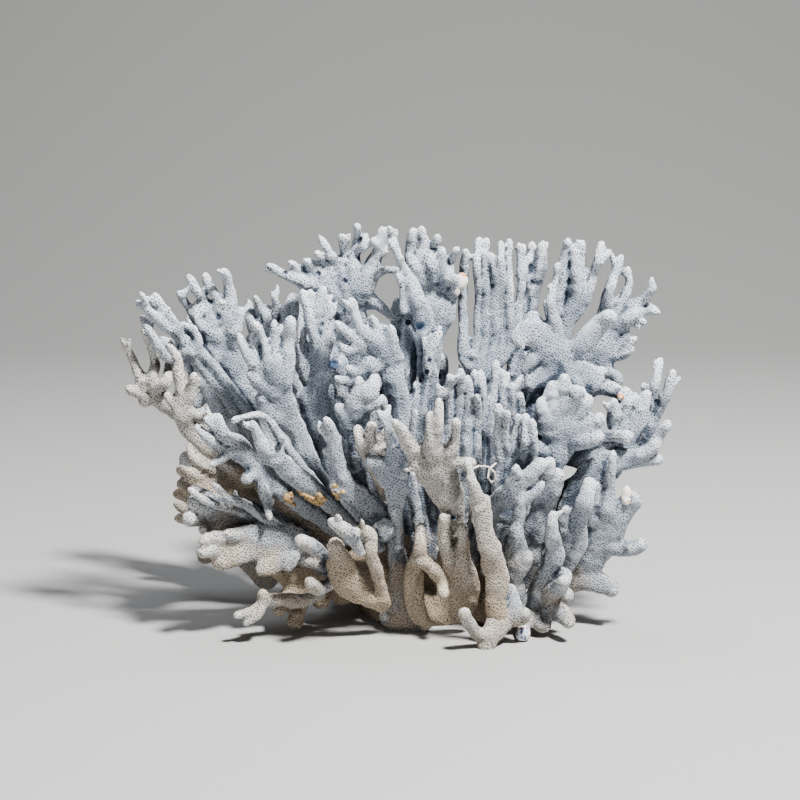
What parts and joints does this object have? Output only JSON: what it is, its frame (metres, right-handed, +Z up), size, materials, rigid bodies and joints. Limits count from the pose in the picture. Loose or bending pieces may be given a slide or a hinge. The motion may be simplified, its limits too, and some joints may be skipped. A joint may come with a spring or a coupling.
{
  "type": "coral specimen",
  "caption": "Dense upright cluster of pale blue coral: flat finger-tipped fronds fanning from one holdfast, cut flat underneath to stand on a shelf.",
  "frame": {"origin": "on the flat cut underneath, below the middle of the cluster's width, on the surface that it stands on", "axes": "+X towards the right of the front view, along the width; +Y away from the front; +Z up, out of the surface it stands on"},
  "size_m": [0.4434, 0.2445, 0.3329],
  "materials": {
    "pale_coral": "matte, dotted all over with small dark pores, paler at the fingertips",
    "stained_coral": "matte, the same pored skin under a tan stain",
    "holdfast_coral": "matte, rough and pitted, grey brown, sawn flat underneath"
  },
  "bodies": {
    "root": {"holdfast": "holdfast_coral", "left_arm": "stained_coral", "left_hand": "stained_coral", "top_left_fan": "pale_coral", "outer_left_fan": "pale_coral", "left_spotted_fan": "pale_coral", "left_inner_fan": "pale_coral", "left_column": "pale_coral", "left_front_arm": "pale_coral", "left_front_limb": "pale_coral", "tan_plate": "stained_coral", "ridged_plate": "pale_coral", "tan_finger": "stained_coral", "lobed_plate": "pale_coral", "egg_lobes": "pale_coral", "left_foot": "stained_coral", "white_finger": "pale_coral", "centre_spray": "pale_coral", "tan_lobes": "stained_coral", "centre_foot": "pale_coral", "wishbone": "stained_coral", "centre_hand": "stained_coral", "long_ridge": "stained_coral", "front_foot": "pale_coral", "right_front_fork": "pale_coral", "right_column": "pale_coral", "right_round_plate": "pale_coral", "right_bracket": "pale_coral", "right_lower_plate": "pale_coral", "right_base_lobes": "pale_coral", "far_right_antler": "pale_coral", "right_shield": "pale_coral", "right_arch": "pale_coral", "crown_spray": "pale_coral", "white_fan": "pale_coral", "sloping_blade": "pale_coral", "crown_block": "pale_coral", "tall_fingers": "pale_coral", "right_crown_hand": "pale_coral", "twin_fingers": "pale_coral", "right_crown_antlers": "pale_coral", "far_right_crown": "pale_coral", "middle_fingers_a": "pale_coral", "middle_fingers_b": "pale_coral", "middle_fingers_c": "pale_coral", "scalloped_plate": "pale_coral", "spotted_blade": "pale_coral", "fluted_cups": "pale_coral", "tan_scallop": "stained_coral", "slender_pair": "pale_coral", "lower_tubes": "stained_coral", "inner_fingers": "pale_coral", "back_left_fan": "pale_coral", "back_left_bracket": "pale_coral", "back_left_plate": "pale_coral", "back_centre_fingers": "pale_coral", "back_centre_plate": "pale_coral", "back_right_fan": "pale_coral", "back_right_arm": "pale_coral", "back_right_plate": "pale_coral"}
  },
  "joints": []
}
